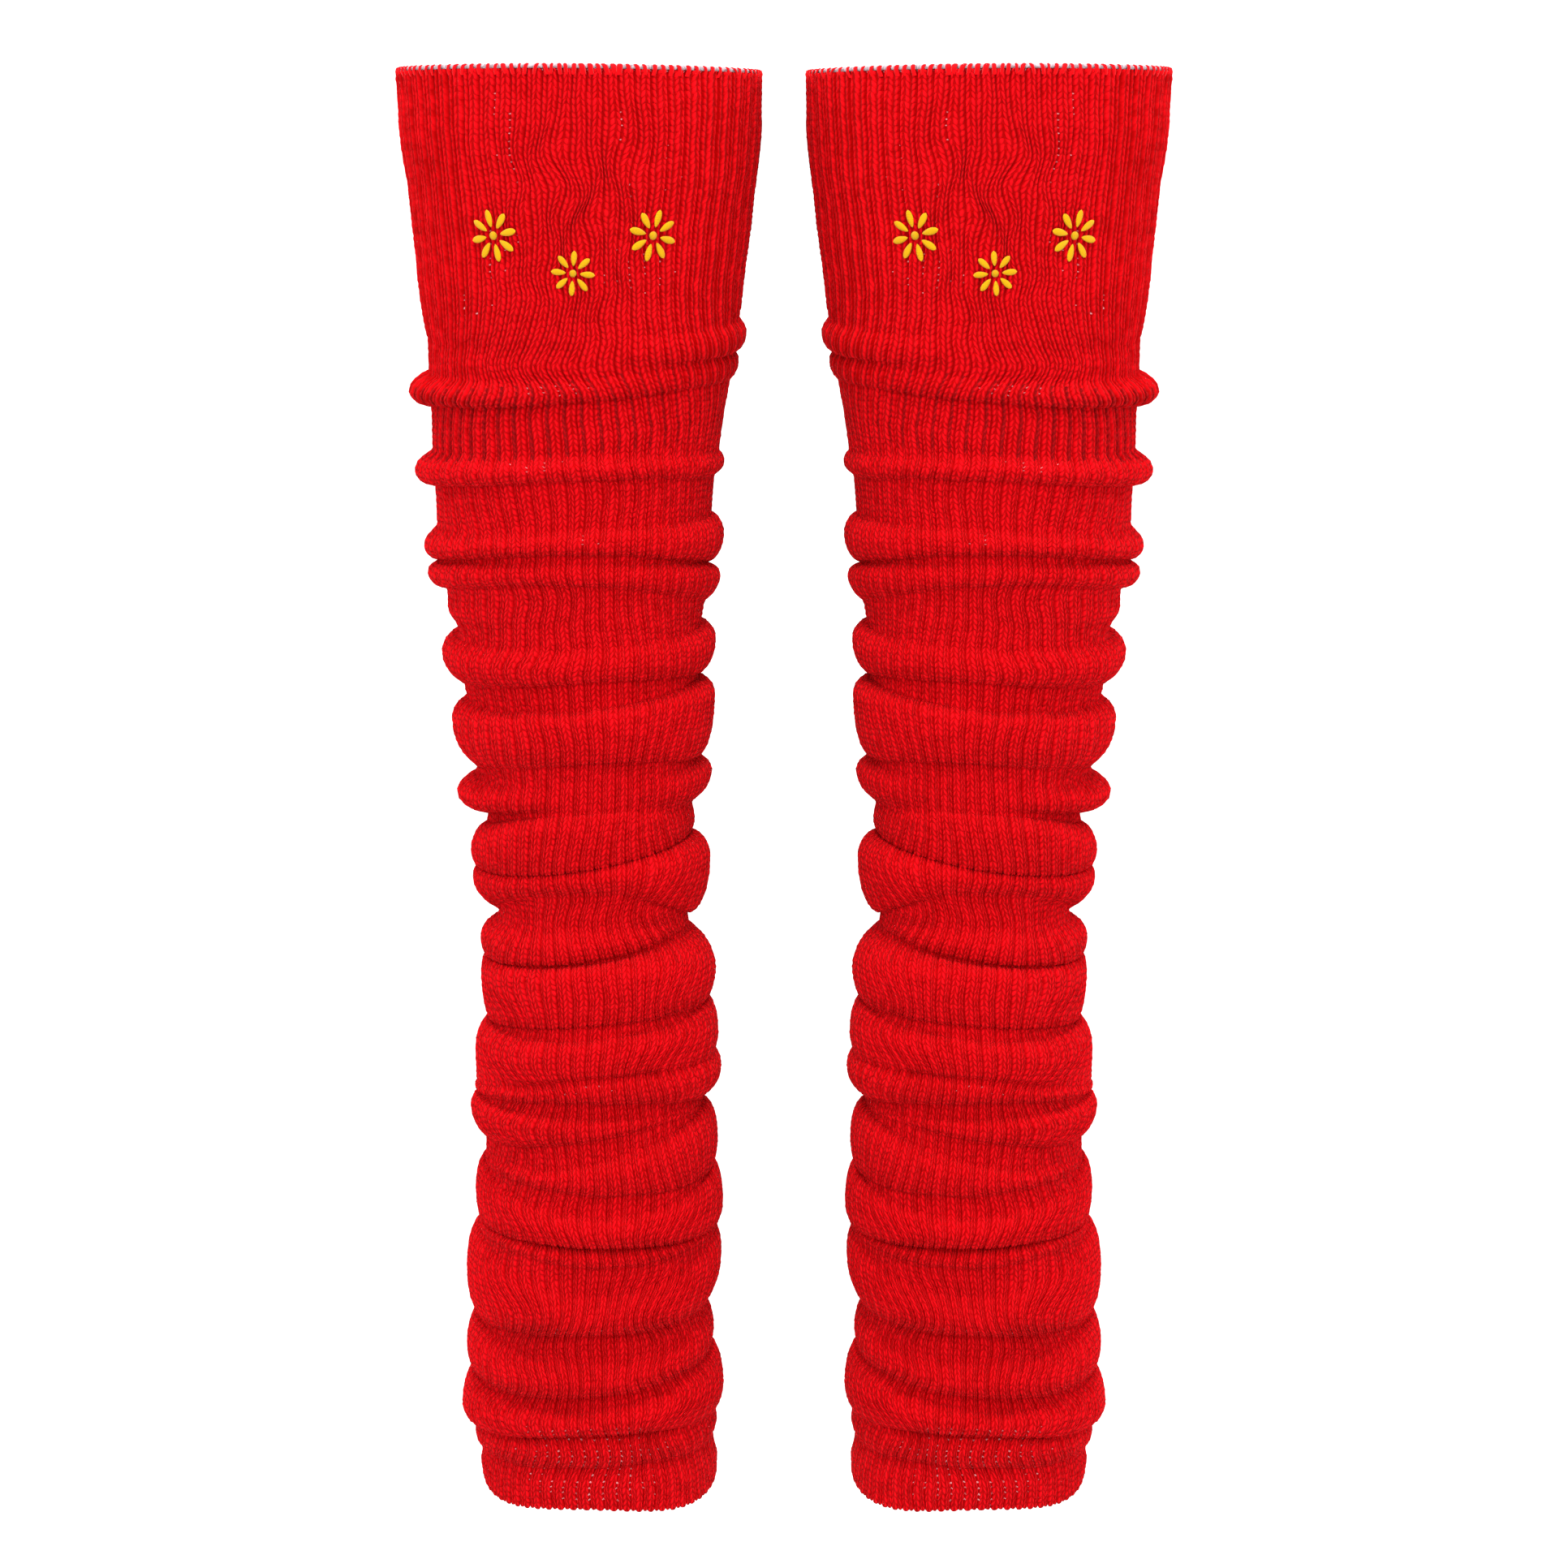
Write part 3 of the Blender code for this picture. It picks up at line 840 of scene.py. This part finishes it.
def on_band(base_depth, base_radius, angle, depth):
    """A point on the band at that angle and depth, with the way out of the cloth there."""
    count = base_depth.shape[1]
    column = int(round(angle / (2 * math.pi) * count)) % count
    radius = float(np.interp(depth, base_depth[:, column], base_radius[:, column]))
    radius -= float(dent(np.array(angle), np.array(depth)))
    out = np.array((math.cos(angle), math.sin(angle), 0.0))
    return out * radius + np.array((0.0, 0.0, -depth)), out


def stitched_patch(outline_point, rise):
    """A raised patch of satin stitch: its upper and its under side, as one closed grid of flat places."""
    rows = PATCH_LONG + 1
    places = np.empty((rows, 2 * PATCH_ACROSS, 3))
    for row in range(rows):
        along = row / PATCH_LONG
        for column in range(2 * PATCH_ACROSS):
            upper = column <= PATCH_ACROSS
            share = column if upper else 2 * PATCH_ACROSS - column
            across = 2 * share / PATCH_ACROSS - 1
            a, b, full = outline_point(along, across)
            crown = math.sqrt(max(1 - across * across, 0.0)) * full
            places[row, column] = a, b, (rise * crown if upper else -rise * crown)
    return places


def petal(turn, size):
    """A petal's outline: narrow at its root and round at its tip, in mm from the daisy's middle."""
    def point(along, across):
        full = math.sin(math.pi * along) ** PETAL_ROUND
        half = PETAL_WIDTH / 2 * size * full * (PETAL_ROOT + (1 - PETAL_ROOT) * along)
        reach = size * (PETAL_FROM + (PETAL_TO - PETAL_FROM) * along)
        a = reach * math.cos(turn) - half * across * math.sin(turn)
        b = reach * math.sin(turn) + half * across * math.cos(turn)
        return a, b, full
    return point


def knot(size):
    """The round knot in a daisy's middle."""
    def point(along, across):
        full = math.sin(math.pi * along)
        radius = KNOT_RADIUS * size
        return radius * -math.cos(math.pi * along), radius * full * across, full
    return point


def daisies(side, base, lines, hand):
    """Satin-stitched daisies laid on the band's cloth."""
    depth, radius = stacked(base[:lines["a"]])
    patches = []
    for daisy in DAISIES:
        turns = [math.radians(daisy.turn) + k * 2 * math.pi / PETALS for k in range(PETALS)]
        flat = [stitched_patch(petal(turn, daisy.size), PETAL_RISE) for turn in turns]
        flat.append(stitched_patch(knot(daisy.size), KNOT_RISE))
        for patch in flat:
            points = np.empty_like(patch)
            for index in np.ndindex(patch.shape[:2]):
                a, b, lift = patch[index]
                angle = math.radians(daisy.angle) + a * MM / BAND_RADIUS
                point, out = on_band(depth, radius, angle, (daisy.depth - b) * MM)
                points[index] = point + out * (STITCH_LIFT + lift) * MM
            patches.append(points)
    count = len(patches)
    rows, columns = patches[0].shape[:2]
    grid = grid_triangles(rows, columns, True)
    corners = np.concatenate([grid + np.array((k * rows, 0)) for k in range(count)])
    maps = {
        "Stitches": (np.linspace(0, 2, columns + 1), np.tile(np.linspace(0, 1, rows), count)),
        "OFBake": (np.linspace(0, 1, columns + 1), np.linspace(1, 0, count * rows)),
    }
    make_piece(f"{side}_daisies", np.concatenate(patches), corners, columns, maps,
               materials["yellow_yarn"], hand)


class Graph:
    """Writes a material's node tree as sums of terms."""

    def __init__(self, name):
        self.material = bpy.data.materials.new(name)
        self.material.use_nodes = True
        self.nodes = self.material.node_tree.nodes
        self.links = self.material.node_tree.links
        self.shader = self.nodes["Principled BSDF"]

    def put(self, socket, value):
        """Sets a socket to a number or a colour, or links it to what was worked out before."""
        if isinstance(value, Term):
            self.links.new(value.socket, socket)
        else:
            socket.default_value = value

    def math(self, operation, *values):
        """The result of one Math node."""
        node = self.nodes.new("ShaderNodeMath")
        node.operation = operation
        for socket, value in zip(node.inputs, values):
            self.put(socket, value)
        return Term(self, node.outputs[0])

    def uv(self, map_name):
        """The two numbers of a texture map."""
        node = self.nodes.new("ShaderNodeUVMap")
        node.uv_map = map_name
        split = self.nodes.new("ShaderNodeSeparateXYZ")
        self.links.new(node.outputs["UV"], split.inputs[0])
        return Term(self, split.outputs[0]), Term(self, split.outputs[1])

    def vector(self, x, y):
        """Two numbers as one flat place."""
        node = self.nodes.new("ShaderNodeCombineXYZ")
        self.put(node.inputs[0], x)
        self.put(node.inputs[1], y)
        return Term(self, node.outputs[0])

    def noise(self, across, down, kind, detail=COARSE_DETAIL):
        """Smooth noise of one kind over two numbers, about zero."""
        node = self.nodes.new("ShaderNodeTexNoise")
        node.noise_dimensions = "2D"
        node.inputs["Scale"].default_value = 1.0
        node.inputs["Detail"].default_value = detail
        self.put(node.inputs["Vector"], self.vector(across * kind.across, down * kind.down))
        return (Term(self, node.outputs["Fac"]) - 0.5) * kind.size

    def chance(self, x, y):
        """A number from 0 to 1 for each pair of whole numbers."""
        node = self.nodes.new("ShaderNodeTexWhiteNoise")
        node.noise_dimensions = "2D"
        self.put(node.inputs["Vector"], self.vector(x, y))
        return Term(self, node.outputs["Value"])

    def attribute(self, name):
        """The number that the mesh keeps under that name."""
        node = self.nodes.new("ShaderNodeAttribute")
        node.attribute_name = name
        return Term(self, node.outputs["Fac"])

    def mix(self, share, low, high):
        """A colour between two others."""
        node = self.nodes.new("ShaderNodeMix")
        node.data_type = "RGBA"
        self.put(node.inputs[0], share)
        self.put(node.inputs[MIX_LOW], low)
        self.put(node.inputs[MIX_HIGH], high)
        return Term(self, node.outputs[MIX_RESULT])

    def bump(self, height, distance):
        """Fine relief on the shader."""
        node = self.nodes.new("ShaderNodeBump")
        node.inputs["Distance"].default_value = distance
        self.put(node.inputs["Height"], height)
        self.links.new(node.outputs["Normal"], self.shader.inputs["Normal"])

    def finish(self, colour, roughness, sheen, tint):
        """The finished material."""
        self.put(self.shader.inputs["Base Color"], colour)
        self.shader.inputs["Roughness"].default_value = roughness
        self.shader.inputs["Specular IOR Level"].default_value = YARN_GLOSS
        self.shader.inputs["Sheen Weight"].default_value = sheen
        self.shader.inputs["Sheen Roughness"].default_value = SHEEN_ROUGHNESS
        self.shader.inputs["Sheen Tint"].default_value = tint
        return self.material


class Term:
    """A number or a colour in a node tree, which can be added, multiplied and so on."""

    def __init__(self, graph, socket):
        self.graph = graph
        self.socket = socket

    def __add__(self, other):
        return self.graph.math("ADD", self, other)

    def __radd__(self, other):
        return self.graph.math("ADD", other, self)

    def __sub__(self, other):
        return self.graph.math("SUBTRACT", self, other)

    def __rsub__(self, other):
        return self.graph.math("SUBTRACT", other, self)

    def __mul__(self, other):
        return self.graph.math("MULTIPLY", self, other)

    def __truediv__(self, other):
        return self.graph.math("DIVIDE", self, other)

    def __pow__(self, other):
        return self.graph.math("POWER", self, other)

    def __lt__(self, other):
        return self.graph.math("LESS_THAN", self, other)

    def __gt__(self, other):
        return self.graph.math("GREATER_THAN", self, other)

    def rest(self):
        """What it is over the next lower whole number."""
        return self.graph.math("FRACT", self)

    def whole(self):
        return self.graph.math("FLOOR", self)

    def size(self):
        return self.graph.math("ABSOLUTE", self)

    def limited(self):
        """The number, kept from 0 to 1."""
        return self.graph.math("MINIMUM", self.graph.math("MAXIMUM", self, 0.0), 1.0)


def stitch_height(graph, across, down):
    """How far the yarn stands out: slanting legs on both sides of each wale, and grooves between wales. The
    same height sets the colour's painted shade, which is also laid on the narrow wales and the band's sides,
    and the whole band is set a little lower.
    """
    across = across + graph.noise(across, down, SWAY)
    down = down + graph.noise(across, down, SLIP)
    place = across.rest()
    wide = place < SPLIT
    middle = (1 + SPLIT) / 2 - wide * 0.5
    half = (1 - SPLIT) / 2 + wide * (SPLIT - 0.5)
    offset = (place - middle) / half
    wale = across.whole() * 2 + wide
    below_band = ((down - BAND_COURSES) / LEAN_CHANGES_OVER).limited()
    long, lean, climb = (below_band * (low - high) + high for high, low in zip(BAND_LEG, KNIT_LEG))
    from_front = graph.math("SINE", across.whole() * (2 * math.pi / PAIRS) - FRONT)
    at_side = ((from_front.size() - SIDE_FROM) / SIDE_FADES_OVER).limited() * (1 - below_band)
    long = long + at_side * SIDE_LONGER
    aside = offset.size()
    single = (1 - below_band) * (1 - wide)
    both = 1 - single
    across_leg = (aside * 2 - 1) * both + offset * single
    step = down + graph.chance(wale, (offset > 0.0) * both) * OUT_OF_STEP - aside * climb * both
    legs = []
    for start in (0.0, 1.0):
        along = (step.rest() - start) / long
        sideways = (across_leg - along * lean) / LEG_WIDE
        oval = 1 - sideways * sideways - along * along
        legs.append(oval.limited() ** LEG_ROUND + (oval > 0.0) * along * LEG_TILT)
    height = graph.math("MAXIMUM", *legs) + graph.noise(across, down, FIBRE, FINE_DETAIL)
    groove_half = (graph.noise(across.whole(), down, GROOVE_NOISE) + 1) * GROOVE_HALF
    groove_half = groove_half * (at_side * SIDE_GROOVE_WIDER + 1)
    groove = ((place - SPLIT).size() / groove_half).limited()
    groove_depth = graph.math("MAXIMUM", below_band, at_side) * (1 - GROOVE_IN_BAND) + GROOVE_IN_BAND
    # The groove lowers the height, as relief and as painted shade; the narrow wales get painted shade
    height = height * (1 - (1 - groove) * groove_depth) - (1 - wide) * SUNK_PAINTED_SHADE
    # Painted shade at the band's sides, more on its narrow wales
    side_painted_shade = at_side * ((1 - wide) * SIDE_SUNK_PAINTED_SHADE + SIDE_PAINTED_SHADE)
    height = height - (1 - below_band) * BAND_SHADE - side_painted_shade
    return height, place, down, wale, (step + 0.5).whole()


def knit_material(name, crest, painted_gap_shade, tint, dots):
    """Rib knit of yarn, with painted shade in its gaps and grooves, and white dots between the stitches where
    the knit is stretched open.
    """
    graph = Graph(name)
    across, down = graph.uv("Stitches")
    height, place, down, wale, stitch = stitch_height(graph, across, down)
    shade = graph.chance(wale, stitch)
    cloud = graph.noise(across, down, CLOUD, FINE_DETAIL)
    # Painted shade: the lower the height, in gaps and grooves, the nearer the colour is to the dark gap colour
    light = height * LIGHT_BY_HEIGHT + LIGHT_IN_GAPS + (shade - 0.5) * LIGHT_BY_STITCH + cloud
    colour = graph.mix(light.limited(), painted_gap_shade, crest)
    if dots:
        wide_open = graph.attribute("open")
        pair, course = across.whole(), down.whole()
        hole_down = (down.rest() - 0.5) / (wide_open * DOT_GAINS_HIGH + DOT_HIGH)
        hole_across = (place - SPLIT) / (wide_open * DOT_GAINS_WIDE + DOT_WIDE)
        hole = 1 - hole_down * hole_down - hole_across * hole_across
        run = graph.chance(pair + RUN_DRAW, (down / RUN_COURSES).whole())
        luck = graph.chance(pair + DOT_DRAW, course) * (1 - RUN_COUNTS) + run * RUN_COUNTS
        white = graph.chance(pair + WHITE_DRAW, course) * WHITER_BY_CHANCE
        white = white + wide_open * WHITER_IF_OPEN + FAINTEST_DOT
        seen = (luck < wide_open) * (hole * DOT_EDGE).limited() * white
        colour = graph.mix(seen, colour, SHOWING_WHITE)
    graph.bump(height, KNIT_BUMP)
    return graph.finish(colour, KNIT_ROUGHNESS, KNIT_SHEEN, tint)


def yarn_material(name, crest, painted_gap_shade, tint, threads):
    """Smooth yarn laid side by side, each thread a low ridge along its run, with painted shade between the
    threads.
    """
    graph = Graph(name)
    across, down = graph.uv("Stitches")
    thread = down * threads
    ply = graph.math("COSINE", (thread + across * YARN_SLANT) * (2 * math.pi)) * 0.5 + 0.5
    height = ply + graph.noise(across, thread, YARN_FIBRE, FINE_DETAIL)
    light = height * YARN_LIGHT_BY_HEIGHT + YARN_LIGHT_IN_GAPS
    # Painted shade: the colour darkens between the threads, where the height is low
    colour = graph.mix(light.limited(), painted_gap_shade, crest)
    graph.bump(height, YARN_BUMP)
    return graph.finish(colour, YARN_ROUGHNESS, YARN_SHEEN, tint)


def stage_and_light():
    """A white surround and soft light from the front and above."""
    world = bpy.data.worlds.new("white_surround")
    world.use_nodes = True
    world.node_tree.nodes["Background"].inputs["Color"].default_value = WHITE
    world.node_tree.nodes["Background"].inputs["Strength"].default_value = WORLD_STRENGTH
    bpy.context.scene.world = world
    for name, place, size, power in LIGHTS:
        light = bpy.data.lights.new(name, "AREA")
        light.shape = "DISK"
        light.size = size
        light.energy = power
        lamp = bpy.data.objects.new(name, light)
        bpy.context.scene.collection.objects.link(lamp)
        lamp.location = place
        aim = np.array(LIGHTS_AIM) - np.array(place)
        tilt = math.acos(-aim[2] / np.linalg.norm(aim))
        lamp.rotation_euler = (tilt, 0.0, math.atan2(aim[1], aim[0]) - math.pi / 2)


def camera():
    """A view from the front at the height of the rims, tilted down to take in the hems."""
    data = bpy.data.cameras.new("camera")
    data.lens = CAMERA_LENS
    data.sensor_width = CAMERA_SENSOR
    made = bpy.data.objects.new("camera", data)
    made.location = CAMERA_PLACE
    made.rotation_euler = (math.radians(90.0 - CAMERA_TILT), 0.0, 0.0)
    bpy.context.scene.collection.objects.link(made)
    bpy.context.scene.camera = made


materials = {
    "red_rib_knit": knit_material("red_rib_knit", RED_CREST, RED_GAP_PAINTED_SHADE, RED_SHEEN, True),
    "white_knit_back": knit_material("white_knit_back", WHITE_CREST, WHITE_GAP_PAINTED_SHADE, WHITE, False),
    "red_yarn": yarn_material("red_yarn", RED_CREST, LOOP_GAP_PAINTED_SHADE, RED_SHEEN, LOOP_THREADS),
    "yellow_yarn": yarn_material("yellow_yarn", YELLOW_CREST, YELLOW_GAP_PAINTED_SHADE, YELLOW_SHEEN, SATIN_THREADS),
}

base_angles = np.arange(BASE_ANGLES) * 2 * math.pi / BASE_ANGLES
base_rings, base_lines = all_rings(base_angles, SLOPE_STEPS)
smooth_depth, smooth_radius, length_ends = knit_rows(base_rings, base_lines)
knit_grid = knit_points(smooth_depth, smooth_radius, length_ends)
for side_name, side_hand in (("left", 1), ("right", -1)):
    made_pieces = knit_pieces(side_name, knit_grid, length_ends, side_hand)
    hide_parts(f"{side_name}_leg_warmer")
    loops(side_name, base_rings, side_hand)
    lining(side_name, side_hand)
    daisies(side_name, base_rings, base_lines, side_hand)

stage_and_light()
camera()
bpy.context.scene.view_settings.view_transform = "Standard"
